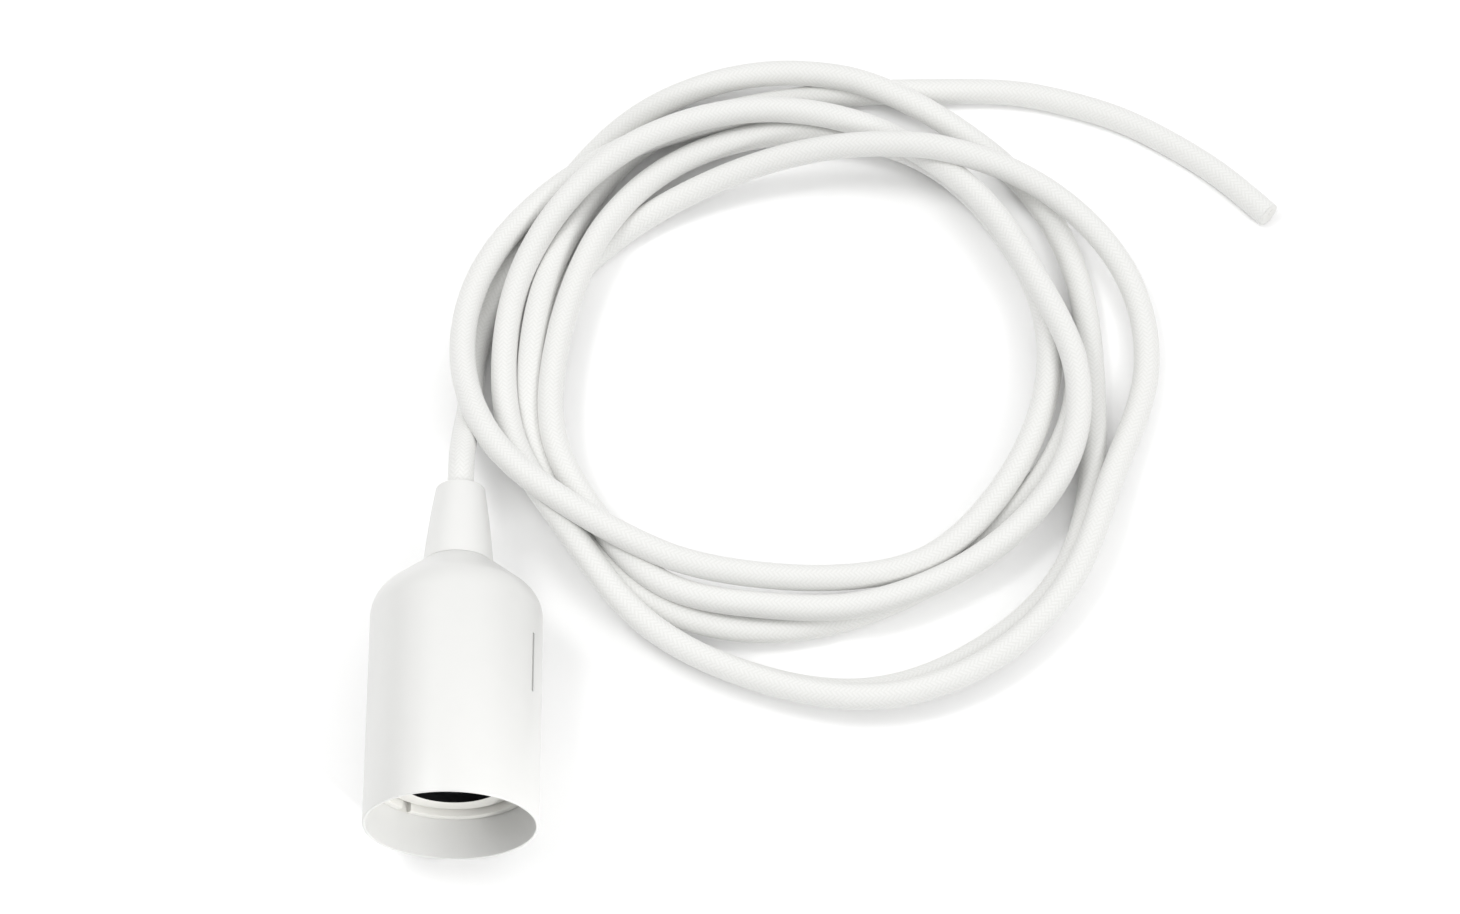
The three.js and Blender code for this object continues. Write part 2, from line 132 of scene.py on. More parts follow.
# The coil seen from above: each angle's distance from the centre, then lead, drop and tail joined to it
def cordPlan():
    radii = np.concatenate([np.array(turn, float) for turn in cord["turns"]])
    angle = np.radians(np.arange(len(radii)) * cord["angleStep"])
    coil = np.array(cord["centre"]) + np.stack([-radii * np.cos(angle), radii * np.sin(angle)], axis=1)
    before = np.array(cord["lead"] + cord["drop"], float)
    after = np.array(cord["tail"], float)
    plan = np.concatenate([before[:, :2], coil, after[:, :2]])
    degree = np.concatenate([
        np.linspace(*cord["leadDegrees"], len(before)),
        np.degrees(angle),
        np.degrees(angle[-1]) + cord["tailDegrees"] * np.arange(1, len(after) + 1),
    ])
    return plan, degree, before


# Heights: the cord sinks and straightens a little each round, and a stretch that crosses another is
# lifted until the two are a contact distance apart, so it lies in long low humps
def cordHeights(plan, layer, known):
    floor = cord["diameter"] / 2
    step = alongLine(plan)[-1] / (len(plan) - 1)
    number = np.arange(len(plan))
    apart = np.linalg.norm(plan[:, None] - plan[None], axis=2)
    between = np.abs(number[:, None] - number) * step
    crossing = (apart < cord["contact"]) & (between > cord["neighbours"])
    upper, lower = np.nonzero(crossing & (layer[:, None] > layer))
    need = np.sqrt(cord["contact"] ** 2 - apart[upper, lower] ** 2)
    # how a stiff strand spreads a bump along itself, from the inverse of one plus its bending energy
    reach = cord["spread"]
    wide = np.eye(2 * reach + 1)
    second = np.eye(2 * reach + 1, k=-1) - 2 * wide + np.eye(2 * reach + 1, k=1)
    second[[0, -1]] = 0
    straighten = np.linalg.inv(wide + (cord["stiffness"] / step) ** 4 * second.T @ second)[reach]
    height = np.full(len(plan), floor)
    for _ in range(cord["rounds"]):
        sunk = np.pad(height - cord["sag"], reach, mode="edge")
        height = np.convolve(sunk, straighten, mode="valid")
        for _ in range(cord["lifts"]):
            lack = np.maximum(need - height[upper] + height[lower], 0)
            up, down = np.zeros(len(plan)), np.zeros(len(plan))
            np.maximum.at(up, upper, lack)
            np.maximum.at(down, lower, lack)
            height = np.maximum(height + (up - down) / 2, floor)
            height[: len(known)] = known
    return height


def cordLine():
    plan, degree, before = cordPlan()
    along = alongLine(plan)
    at = np.arange(0, along[-1], cord["sampleStep"])
    fine = splineThrough(along, plan, at)
    layer = np.interp(np.interp(at, along, degree), *zip(*cord["layers"]))
    known = splineThrough(along[: len(before)], before[:, 2], at[at < along[len(before) - 1]])[:, 0]
    height = cordHeights(fine, layer, known)
    # a running mean takes out what is left of the kinks, away from the lead
    window = np.hanning(cord["window"])[1:-1]
    padded = np.pad(height, len(window) // 2, mode="edge")
    smooth = np.convolve(padded, window / window.sum(), mode="valid")
    share = np.clip((np.arange(len(height)) - len(known)) / cord["blend"] + 0.5, 0, 1)
    height = height + (smooth - height) * share
    line = np.column_stack([fine, height])
    if at[-1] < along[-1] - cord["shortest"]:
        line = np.concatenate([line, [cord["tail"][-1]]])
    travelled = alongLine(line)
    rings = np.linspace(0, travelled[-1], int(travelled[-1] / cord["ringStep"]) + 1)
    return splineThrough(travelled, line, rings)


cordPath = cordLine() * mm
cordLength = float(alongLine(cordPath)[-1])
print("cord laid out, metres:", round(cordLength, 3), "highest:", round(float(cordPath[:, 2].max()), 4))


# A mesh object from points and faces, with its faces turned outwards
def meshObject(name, points, faces, smoothAngle=40):
    mesh = bpy.data.meshes.new(name)
    mesh.from_pydata(np.asarray(points).reshape(-1, 3).tolist(), [], [list(f) for f in faces])
    work = bmesh.new()
    work.from_mesh(mesh)
    bmesh.ops.remove_doubles(work, verts=work.verts, dist=1e-7)
    bmesh.ops.recalc_face_normals(work, faces=work.faces)
    work.to_mesh(mesh)
    work.free()
    mesh.polygons.foreach_set("use_smooth", np.ones(len(mesh.polygons), bool))
    mesh.set_sharp_from_angle(angle=np.radians(smoothAngle))
    made = bpy.data.objects.new(name, mesh)
    bpy.context.scene.collection.objects.link(made)
    return made


# Faces of a grid of points: each joins four neighbours, and a closed direction joins its end to its start
def gridFaces(rows, columns, closedRows=False, closedColumns=True):
    r = np.arange(rows if closedRows else rows - 1)[:, None]
    c = np.arange(columns if closedColumns else columns - 1)[None]
    nextRow, nextColumn = (r + 1) % rows, (c + 1) % columns
    return np.stack(
        np.broadcast_arrays(r * columns + c, r * columns + nextColumn,
                            nextRow * columns + nextColumn, nextRow * columns + c),
        axis=-1,
    ).reshape(-1, 4)


# A round tube: a circle square to the path at each of its points, with one flat face across each end
def tubeMesh(name, path, radius, sides):
    ahead = np.gradient(path, axis=0)
    ahead /= np.linalg.norm(ahead, axis=1)[:, None]
    side = np.cross(ahead, (0, 0, 1))
    side /= np.linalg.norm(side, axis=1)[:, None]
    over = np.cross(side, ahead)
    turn = np.linspace(0, 2 * np.pi, sides, endpoint=False)
    circle = np.cos(turn)[:, None] * side[:, None] + np.sin(turn)[:, None] * over[:, None]
    points = path[:, None] + radius * circle
    faces = gridFaces(len(path), sides)
    mesh = bpy.data.meshes.new(name)
    ends = [list(range(sides)), list(range((len(path) - 1) * sides, len(path) * sides))[::-1]]
    mesh.from_pydata(points.reshape(-1, 3).tolist(), [], faces.tolist() + ends)
    # around runs from 0 to 1, and along is in circumferences, so the braid keeps its shape
    corner = np.zeros(len(mesh.loops), np.int64)
    mesh.loops.foreach_get("vertex_index", corner)
    around = (corner % sides) / sides
    wraps = np.tile([0, 1, 1, 0], len(faces)) * (np.repeat(faces[:, 0] % sides, 4) == sides - 1)
    around[: len(wraps)] += wraps
    along = alongLine(path)[corner // sides] / (2 * np.pi * radius)
    uv = mesh.uv_layers.new(name="braidUV")
    uv.data.foreach_set("uv", np.column_stack([around, along]).ravel().astype(np.float32))
    mesh.polygons.foreach_set("use_smooth", np.ones(len(mesh.polygons), bool))
    mesh.set_sharp_from_angle(angle=np.radians(50))
    made = bpy.data.objects.new(name, mesh)
    bpy.context.scene.collection.objects.link(made)
    return made


textileCord = tubeMesh("textile_cord", cordPath, cord["diameter"] / 2 * mm, cord["sides"])
print("cord mesh, faces:", len(textileCord.data.polygons))


# The colour that a hex value names, as the linear numbers that a shader works in
def linear(hexColour):
    value = np.array([int(hexColour[i : i + 2], 16) for i in (1, 3, 5)]) / 255
    return (*np.where(value <= 0.04045, value / 12.92, ((value + 0.055) / 1.055) ** 2.4).tolist(), 1.0)


# Adds a node: settings go to its properties or its sockets, and links name its sockets' sources
def addNode(tree, kind, settings=None, links=None):
    node = tree.nodes.new(kind)
    for key, value in (settings or {}).items():
        if isinstance(key, str) and hasattr(node, key):
            setattr(node, key, value)
        else:
            node.inputs[key].default_value = value
    for key, (source, output) in (links or {}).items():
        tree.links.new(source.outputs[output], node.inputs[key])
    return node


def newMaterial(name, settings):
    material = bpy.data.materials.new(name)
    material.use_nodes = True
    tree = material.node_tree
    shader = tree.nodes["Principled BSDF"]
    for key, value in settings.items():
        shader.inputs[key].default_value = value
    return material, tree, shader


# Plastic moulded in a polished tool: even and glossy, with a very slight ripple that breaks up reflections
mouldedPlastic = {
    "ripple": 5.0,  # mm between the ripple's crests
    "rippleDepth": 0.004,
    "grain": 0.35,  # the same for the fine grain
    "grainDepth": 0.0012,
    "index": 1.53,
}


def plasticMaterial(name, colour, shade, roughness, rougher):
    material, tree, shader = newMaterial(name, {"IOR": mouldedPlastic["index"]})
    place = addNode(tree, "ShaderNodeTexCoord")
    rippleScale = 1 / (mouldedPlastic["ripple"] * mm)
    ripple = addNode(tree, "ShaderNodeTexNoise", {"Scale": rippleScale, "Detail": 1.0},
                     {"Vector": (place, "Object")})
    grainScale = 1 / (mouldedPlastic["grain"] * mm)
    grain = addNode(tree, "ShaderNodeTexNoise", {"Scale": grainScale, "Detail": 2.0},
                    {"Vector": (place, "Object")})
    tint = addNode(tree, "ShaderNodeMix", {"data_type": "RGBA", 6: linear(colour), 7: linear(shade)},
                   {0: (ripple, "Fac")})
    tree.links.new(tint.outputs[2], shader.inputs["Base Color"])
    dull = addNode(tree, "ShaderNodeMapRange", {"To Min": roughness, "To Max": rougher},
                   {"Value": (grain, "Fac")})
    tree.links.new(dull.outputs["Result"], shader.inputs["Roughness"])
    rippleDepth = mouldedPlastic["rippleDepth"] * mm
    wave = addNode(tree, "ShaderNodeBump", {"Distance": rippleDepth, "Strength": 1.0},
                   {"Height": (ripple, "Fac")})
    grainDepth = mouldedPlastic["grainDepth"] * mm
    fine = addNode(tree, "ShaderNodeBump", {"Distance": grainDepth, "Strength": 1.0},
                   {"Height": (grain, "Fac"), "Normal": (wave, "Normal")})
    tree.links.new(fine.outputs["Normal"], shader.inputs["Normal"])
    return material


# Metal parts: turned and stamped, with fine lines from the tool and slight tarnish
toolMarks = {
    "spacing": 0.12,  # mm between the lines
    "stretch": 0.08,  # of the lines' pattern along y, which makes them long
    "depth": 0.004,
    "cloud": 3.0,  # mm between patches of tarnish
    "duller": 0.15,  # roughness that the lines add at most
}


def metalMaterial(name, colour, tarnish, roughness):
    material, tree, shader = newMaterial(name, {"Metallic": 1.0})
    place = addNode(tree, "ShaderNodeTexCoord")
    stretch = addNode(tree, "ShaderNodeMapping", {"Scale": (1.0, toolMarks["stretch"], 1.0)},
                      {"Vector": (place, "Object")})
    lineScale = 1 / (toolMarks["spacing"] * mm)
    lines = addNode(tree, "ShaderNodeTexNoise", {"Scale": lineScale, "Detail": 2.0},
                    {"Vector": (stretch, "Vector")})
    cloudScale = 1 / (toolMarks["cloud"] * mm)
    cloud = addNode(tree, "ShaderNodeTexNoise", {"Scale": cloudScale, "Detail": 3.0},
                    {"Vector": (place, "Object")})
    tint = addNode(tree, "ShaderNodeMix", {"data_type": "RGBA", 6: linear(colour), 7: linear(tarnish)},
                   {0: (cloud, "Fac")})
    tree.links.new(tint.outputs[2], shader.inputs["Base Color"])
    dull = addNode(tree, "ShaderNodeMapRange",
                   {"To Min": roughness, "To Max": roughness + toolMarks["duller"]},
                   {"Value": (lines, "Fac")})
    tree.links.new(dull.outputs["Result"], shader.inputs["Roughness"])
    scratch = addNode(tree, "ShaderNodeBump", {"Distance": toolMarks["depth"] * mm, "Strength": 1.0},
                      {"Height": (lines, "Fac")})
    tree.links.new(scratch.outputs["Normal"], shader.inputs["Normal"])
    return material


# Rayon braid over the round cord: two sets of flat yarns wind round it both ways, each over two and under
# two of the other. It is matt with a faint sheen, and the furrows between the yarns are made a little
# darker as painted shade.
braid = {
    "carriers": 16,  # yarns that wind each way
    "lay": 1.0,  # circumferences along the cord for a full turn of a yarn
    "depth": 0.045,
    "colour": "#E6E6E4",
    "furrow": "#DBDBD8",
    # the furrow colour is painted shade, for the shade that falls between the yarns
    "fibre": 0.18,  # mm between single fibres
    "fuzz": 0.35,  # height of the fibres for a yarn of height 1
    "strength": 0.8,
    "sheen": 0.5,
}


def braidMaterial(name):
    settings = {"Roughness": 0.85, "IOR": 1.47, "Sheen Weight": braid["sheen"], "Sheen Roughness": 0.4}
    material, tree, shader = newMaterial(name, settings)
    uv = addNode(tree, "ShaderNodeUVMap", {"uv_map": "braidUV"})
    parts = addNode(tree, "ShaderNodeSeparateXYZ", None, {"Vector": (uv, "UV")})
    across = addNode(tree, "ShaderNodeMath", {"operation": "MULTIPLY", 1: braid["carriers"]},
                     {0: (parts, "X")})
    onward = addNode(tree, "ShaderNodeMath", {"operation": "MULTIPLY", 1: braid["carriers"] / braid["lay"]},
                     {0: (parts, "Y")})
    one = addNode(tree, "ShaderNodeMath", {"operation": "ADD"}, {0: (across, 0), 1: (onward, 0)})
    other = addNode(tree, "ShaderNodeMath", {"operation": "SUBTRACT"}, {0: (across, 0), 1: (onward, 0)})

    def crown(source):  # 1 on the middle of a yarn and 0 in the furrow beside it
        wave = addNode(tree, "ShaderNodeMath", {"operation": "PINGPONG", 1: 0.5}, {0: (source, 0)})
        bow = addNode(tree, "ShaderNodeMath", {"operation": "MULTIPLY", 1: 2.0}, {0: (wave, 0)})
        return addNode(tree, "ShaderNodeMath", {"operation": "POWER", 1: 0.5}, {0: (bow, 0)})

    def number(source):
        return addNode(tree, "ShaderNodeMath", {"operation": "FLOOR"}, {0: (source, 0)})

    # the yarns' numbers add up to a count of the crossings, and the one on top changes after every two
    both = addNode(tree, "ShaderNodeMath", {"operation": "ADD"},
                   {0: (number(one), 0), 1: (number(other), 0)})
    half = addNode(tree, "ShaderNodeMath", {"operation": "MULTIPLY", 1: 0.5}, {0: (both, 0)})
    whole = addNode(tree, "ShaderNodeMath", {"operation": "FLOOR"}, {0: (half, 0)})
    upper = addNode(tree, "ShaderNodeMath", {"operation": "MODULO", 1: 2.0}, {0: (whole, 0)})
    flag = addNode(tree, "ShaderNodeMath", {"operation": "ABSOLUTE"}, {0: (upper, 0)})
    height = addNode(tree, "ShaderNodeMix", {"data_type": "FLOAT"},
                     {0: (flag, 0), 2: (crown(one), 0), 3: (crown(other), 0)})
    place = addNode(tree, "ShaderNodeTexCoord")
    fibre = addNode(tree, "ShaderNodeTexNoise", {"Scale": 1 / (braid["fibre"] * mm), "Detail": 2.0},
                    {"Vector": (place, "Object")})
    fuzz = addNode(tree, "ShaderNodeMath", {"operation": "MULTIPLY", 1: braid["fuzz"]}, {0: (fibre, "Fac")})
    relief = addNode(tree, "ShaderNodeMath", {"operation": "ADD"}, {0: (height, 0), 1: (fuzz, 0)})
    # painted shade: the colour goes darker from each yarn's crown down into the furrows
    tint = addNode(tree, "ShaderNodeMix",
                   {"data_type": "RGBA", 6: linear(braid["furrow"]), 7: linear(braid["colour"])},
                   {0: (height, 0)})
    tree.links.new(tint.outputs[2], shader.inputs["Base Color"])
    bump = addNode(tree, "ShaderNodeBump",
                   {"Distance": braid["depth"] * mm, "Strength": braid["strength"]},
                   {"Height": (relief, 0)})
    tree.links.new(bump.outputs["Normal"], shader.inputs["Normal"])
    return material


whiteAbs = plasticMaterial("moulded_white_abs", "#DDDDDB", "#DBDBD9", 0.3, 0.36)
collarAbs = plasticMaterial("moulded_white_abs_satin", "#E1E1DF", "#DFDFDD", 0.4, 0.48)
whitePbt = plasticMaterial("moulded_pbt_sleeve", "#DEDDD9", "#DBDAD5", 0.45, 0.55)
# the dark grey here is painted shade for the bore's wall, not its own colour, which is the sleeve's
# off-white
paintedBoreShade = metalMaterial("bore_wall_painted_shade", "#3C3C3E", "#2E2E30", 0.42)
rayonBraid = braidMaterial("rayon_braid")
stampedBrass = metalMaterial("stamped_brass", "#C9A557", "#B48F47", 0.28)
zincSteel = metalMaterial("zinc_plated_steel", "#B9BCBF", "#A5A8AC", 0.3)
strandedCopper = metalMaterial("stranded_copper", "#B8714A", "#9E5C3A", 0.35)
brownPvc = plasticMaterial("extruded_brown_pvc", "#6B4327", "#5F3B22", 0.4, 0.5)
bluePvc = plasticMaterial("extruded_blue_pvc", "#2F5F9E", "#2A568F", 0.4, 0.5)
whitePvc = plasticMaterial("extruded_white_pvc", "#E4E4E1", "#DEDDDA", 0.45, 0.55)
print("materials made")


# The holder's outlines as [distance from the axis, s]. The sizes are those of the solids, apart from the
# lip and the rim in the mouth and the closed seam, which follow the photograph
holder = {
    "radius": 22.5,
    "wall": 2.0,
    "mouthRound": 0.4,
    "lipWall": 0.8,  # the wall thins to this at the mouth, from its inside
    "lipRound": 0.25,
    "flare": 10.0,  # where it starts to thin
    "rings": (12.0, 23.0),  # more rows of faces along the wall
    "seatRound": 0.15,
    "straight": 58.0,
    "shoulder": 10.0,
    "slope": 50.0,
    "shoulderFaces": 16,
    "neck": 6.2,
    "neckLength": 10.0,
    "neckBore": 4.1,
    "innerFloor": 2.5,
    "slotStart": 33.5,
    "slotLength": 16.5,
    "slotWidth": 1.0,
    "slotAngle": 66.0,
    "faces": 64,  # round half of it, between the two slots
}
collar = {
    "base": 9.2,
    "tip": 6.6,
    "length": 22.0,
    "bulge": 0.35,
    "tipRound": 0.9,
    "hole": 3.95,
    "holeRound": 0.35,
    "lip": 2.0,
    "footRound": 0.15,
    "outsideRows": 24,
    "faces": 128,
    "seam": 0.06,  # between the shell and the collar once it is screwed home
}
gap = 0.3  # between separate solids
shoulderAngle = np.radians(holder["slope"])
coneRadius = holder["radius"] - holder["shoulder"] * (1 - np.cos(shoulderAngle))
coneStart = holder["straight"] + holder["shoulder"] * np.sin(shoulderAngle)
seat = coneStart + (coneRadius - collar["base"]) / np.tan(shoulderAngle)
collarStart = seat + gap
collarEnd = collarStart + collar["length"]


# Points of an arc round (r, s), in degrees from the direction away from the axis towards the back
def arcPoints(r, s, radius, start, stop, count):
    angle = np.radians(np.linspace(start, stop, count))
    return np.column_stack([r + radius * np.cos(angle), s + radius * np.sin(angle)]).tolist()


# A round corner: the parabola between the points that lie its radius before and after the corner
def rounded(before, corner, after, radius, count=5):
    before, corner, after = (np.array(p, float) for p in (before, corner, after))
    first = corner + radius * (before - corner) / np.linalg.norm(before - corner)
    last = corner + radius * (after - corner) / np.linalg.norm(after - corner)
    t = np.linspace(0, 1, count)[:, None]
    return ((1 - t) ** 2 * first + 2 * t * (1 - t) * corner + t**2 * last).tolist()


# A profile turned round the axis: each point goes round a circle, and the holder lies on its side, so
# radius r and angle from straight up give x and z, and s gives y
def turnedPoints(profile, angles):
    profile = np.asarray(profile, float)
    r, s = profile[:, 0, None], profile[:, 1, None]
    x = r * np.sin(angles)
    z = holder["radius"] + r * np.cos(angles)
    y = np.broadcast_to(s - collarEnd / 2, x.shape)
    return np.stack([x, y, z], axis=-1) * mm


# The shell is one closed profile turned round, with the two release slots left open as gaps in its faces
def shellPiece():
    radius, bore = holder["radius"], holder["radius"] - holder["wall"]
    slotEnd = holder["slotStart"] + holder["slotLength"]
    floor = seat - holder["innerFloor"]
    slope = np.tan(shoulderAngle)
    innerRadius = holder["shoulder"] - holder["wall"]
    centre = radius - holder["shoulder"]
    innerStart = holder["straight"] + innerRadius * np.sin(shoulderAngle)
    innerCone = centre + innerRadius * np.cos(shoulderAngle)
    outer = rounded([radius - holder["lipWall"], 0], [radius, 0], [radius, holder["flare"]],
                    holder["mouthRound"], 7)
    outer += [[radius, s] for s in (*holder["rings"], holder["slotStart"], slotEnd)]
    outer += arcPoints(centre, holder["straight"], holder["shoulder"], 0, holder["slope"],
                       holder["shoulderFaces"])
    outer += rounded([coneRadius, coneStart], [collar["base"], seat], [holder["neck"], seat],
                     holder["seatRound"], 4)
    outer += [
        [holder["neck"], seat],
        [holder["neck"], seat + holder["neckLength"]],
        [holder["neckBore"], seat + holder["neckLength"]],
    ]
    inner = [
        [holder["neckBore"], floor],
        [innerCone - (floor - innerStart) * slope, floor],
    ]
    inner += arcPoints(centre, holder["straight"], innerRadius, holder["slope"], 0, 9)
    inner += [[bore, s] for s in (slotEnd, holder["slotStart"], *holder["rings"][::-1], holder["flare"])]
    inner += rounded([bore, holder["flare"]], [radius - holder["lipWall"], 0], [radius, 0],
                     holder["lipRound"], 4)
    profile = np.array(outer + inner)
    half = np.degrees(holder["slotWidth"] / 2 / radius)
    first = holder["slotAngle"]
    halfTurn = np.linspace(first + half, first + 180 - half, holder["faces"])
    angles = np.radians(np.concatenate([halfTurn, halfTurn + 180]))
    points = turnedPoints(profile, angles)
    rows, columns = len(profile), len(angles)
    faces = gridFaces(rows, columns, closedRows=True)
    at = np.isclose(profile[:, 1], holder["slotStart"])
    outerRow, innerRow = np.nonzero(at)[0]
    row, column = faces[:, 0] // columns, faces[:, 0] % columns
    slotColumns = (holder["faces"] - 1, columns - 1)
    inSlot = np.isin(column, slotColumns) & np.isin(row, (outerRow, innerRow - 1))
    walls = []
    for left in slotColumns:
        right = (left + 1) % columns
        outside = [(outerRow, left), (outerRow, right), (outerRow + 1, right), (outerRow + 1, left)]
        inside = [(innerRow, left), (innerRow, right), (innerRow - 1, right), (innerRow - 1, left)]
        near, far = ([r * columns + c for r, c in ring] for ring in (outside, inside))
        for k in range(4):
            n = (k + 1) % 4
            walls.append([near[k], near[n], far[n], far[k]])
    return meshObject("holder_shell", points, faces[~inSlot].tolist() + walls, 30)


# The collar's outside is a flat parabola from base to tip, a little fuller than a cone
def collarPiece():
    base, tip = collar["base"], collar["tip"]
    t = np.linspace(0, 1, collar["outsideRows"])[:, None]
    middle = np.array([(base + tip) / 2 + collar["bulge"], (collarStart + collarEnd) / 2])
    foot = seat + collar["seam"]
    low = np.array([base, foot + collar["footRound"]])
    high = np.array([tip, collarEnd - collar["tipRound"]])
    outside = ((1 - t) ** 2 * low + 2 * t * (1 - t) * middle + t**2 * high).tolist()
    coneFoot, coneHead = seat + holder["neckLength"] + gap, collarEnd - collar["lip"]
    profile = rounded([holder["neck"] + gap, foot], [base, foot], low, collar["footRound"] - 0.01, 4)
    profile += outside
    profile += rounded(high, [tip, collarEnd], [collar["hole"], collarEnd], collar["tipRound"], 7)
    profile += rounded([tip, collarEnd], [collar["hole"], collarEnd], [collar["hole"], coneHead],
                       collar["holeRound"], 4)
    profile += [
        [collar["hole"], coneHead],
        [holder["neck"] + gap, coneFoot],
        [holder["neck"] + gap, foot],
    ]
    angles = np.linspace(0, 2 * np.pi, collar["faces"], endpoint=False)
    points = turnedPoints(profile, angles)
    return meshObject("grip_nut", points, gridFaces(len(profile), len(angles), closedRows=True), 35)


shell = shellPiece()
gripNut = collarPiece()
print("shell and collar made")

# The sleeve with its moulded lamp thread
sleeve = {
    "rimStart": 10.3,
    "rimOuter": 20.2,
    "rimInner": 18.3,
    "grooveWidth": 0.7,
    "grooveDepth": 1.5,
    "rimRound": 0.25,
    "faceRound": 0.2,
    "grooveRound": 0.15,
    "face": 12.1,
    "flangeBack": 14.1,
    "bore": 13.4,
    "outside": 15.6,
    "end": 38.1,
    "chamfer": 0.3,
    "threadCrest": 12.3,
    "threadPitch": 3.63,
    "threadStart": 13.6,
    "threadEnd": 34.0,
    "notchWidth": 2.8,
    "notchInner": 18.2,
    "notchOuter": 19.9,
    "notchAngle": 222.5,
    "notchPast": 1.0,  # how far the cutter stands out at both ends
    "pillarRadius": 2.7,
    "pillarCircle": 17.2,
    "pillarAngle": 156.0,
    "pillarSunk": 0.5,  # into the flange
    "pillarFaces": 32,
    "faces": 144,
    "boreRows": 110,
}


# A box between two corners in the holder's lying frame, turned round its axis
def turnedBox(xRange, sRange, zRange, angle):
    corners = np.array([(x, s, z) for x in xRange for s in sRange for z in zRange], float)
    x = corners[:, 0] * np.cos(angle) + corners[:, 2] * np.sin(angle)
    z = corners[:, 2] * np.cos(angle) - corners[:, 0] * np.sin(angle)
    points = np.column_stack([x, corners[:, 1] - collarEnd / 2, holder["radius"] + z]) * mm
    faces = [(0, 1, 3, 2), (4, 6, 7, 5), (0, 4, 5, 1), (2, 3, 7, 6), (0, 2, 6, 4), (1, 5, 7, 3)]
    return points, faces


# The bore's wall is a helix of round ridges: at each place the radius is the root less the ridge's height,
# a raised cosine of s less the pitch times the angle, faded in and out over a pitch at its two ends
def sleevePiece():
    pitch = sleeve["threadPitch"]
    boreS = np.linspace(sleeve["end"], sleeve["face"] + sleeve["chamfer"], sleeve["boreRows"])
    innerCorner, outerCorner = ([sleeve[edge], sleeve["rimStart"]] for edge in ("rimInner", "rimOuter"))
    profile = rounded([sleeve["rimInner"], sleeve["end"]], innerCorner, outerCorner, sleeve["rimRound"], 4)
    profile += rounded(innerCorner, outerCorner, [sleeve["rimOuter"], sleeve["flangeBack"]],
                       sleeve["rimRound"], 4)
    profile += [
        [sleeve["rimOuter"], sleeve["flangeBack"]],
        [sleeve["outside"], sleeve["flangeBack"]],
        [sleeve["outside"], sleeve["end"]],
    ]
    firstBore = len(profile)
    profile += np.column_stack([np.full(len(boreS), sleeve["bore"]), boreS]).tolist()
    profile += rounded([sleeve["bore"], sleeve["end"]], [sleeve["bore"], sleeve["face"]],
                       [sleeve["rimInner"], sleeve["face"]], sleeve["faceRound"], 5)
    # a narrow groove at the foot of the rim, the line between the two rings seen in the mouth
    grooveEdge = sleeve["rimInner"] - sleeve["grooveWidth"]
    grooveFloor = sleeve["face"] + sleeve["grooveDepth"]
    profile += rounded([sleeve["bore"], sleeve["face"]], [grooveEdge, sleeve["face"]],
                       [grooveEdge, grooveFloor], sleeve["grooveRound"], 3)
    profile += [[grooveEdge, grooveFloor], [sleeve["rimInner"], grooveFloor]]
    profile = np.array(profile)
    angles = np.linspace(0, 2 * np.pi, sleeve["faces"], endpoint=False)
    radius = np.repeat(profile[:, :1], len(angles), axis=1)
    s = boreS[:, None]
    phase = s / pitch - angles / (2 * np.pi)
    ridge = (0.5 + 0.5 * np.cos(2 * np.pi * phase)) * (sleeve["bore"] - sleeve["threadCrest"])
    fadeIn = np.clip((s - sleeve["threadStart"]) / pitch, 0, 1)
    fadeOut = np.clip((sleeve["threadEnd"] - s) / pitch, 0, 1)
    radius[firstBore : firstBore + len(boreS)] -= ridge * fadeIn * fadeOut
    x = radius * np.sin(angles)
    z = holder["radius"] + radius * np.cos(angles)
    y = np.broadcast_to(profile[:, 1, None] - collarEnd / 2, x.shape)
    points = np.stack([x, y, z], axis=-1) * mm
    made = meshObject("lamp_sleeve", points, gridFaces(len(profile), len(angles), closedRows=True), 35)
    for halfTurn in (0, np.pi):
        corners, faces = turnedBox(
            (-sleeve["notchWidth"] / 2, sleeve["notchWidth"] / 2),
            (sleeve["rimStart"] - sleeve["notchPast"], sleeve["flangeBack"] + sleeve["notchPast"]),
            (sleeve["notchInner"], sleeve["notchOuter"]),
            np.radians(sleeve["notchAngle"]) + halfTurn,
        )
        cutter = meshObject("notch_cutter", corners, faces)
        cut = made.modifiers.new("notch", "BOOLEAN")
        cut.operation = "DIFFERENCE"
        cut.solver = "EXACT"
        cut.object = cutter
        bpy.context.view_layer.objects.active = made
        with bpy.context.temp_override(object=made, active_object=made):
            bpy.ops.object.modifier_apply(modifier=cut.name)
        bpy.data.objects.remove(cutter)
    made.data.polygons.foreach_set("use_smooth", np.ones(len(made.data.polygons), bool))
    made.data.set_sharp_from_angle(angle=np.radians(35))
    # the bore's wall gets a dark grey as painted shade, for the near-black seen deep inside the bore, and
    # its front edge stays bright
    made.data.materials.append(whitePbt)
    made.data.materials.append(paintedBoreShade)
    centres = np.zeros(3 * len(made.data.polygons))
    made.data.polygons.foreach_get("center", centres)
    x, y, z = centres.reshape(-1, 3).T / mm
    margin = 0.01  # takes in the whole wall, and leaves out the sleeve's back end
    inBore = np.hypot(x, z - holder["radius"]) < sleeve["bore"] + margin
    inBore &= y + collarEnd / 2 < sleeve["end"] - 2 * margin
    made.data.polygons.foreach_set("material_index", inBore.astype(np.int32))
    return made


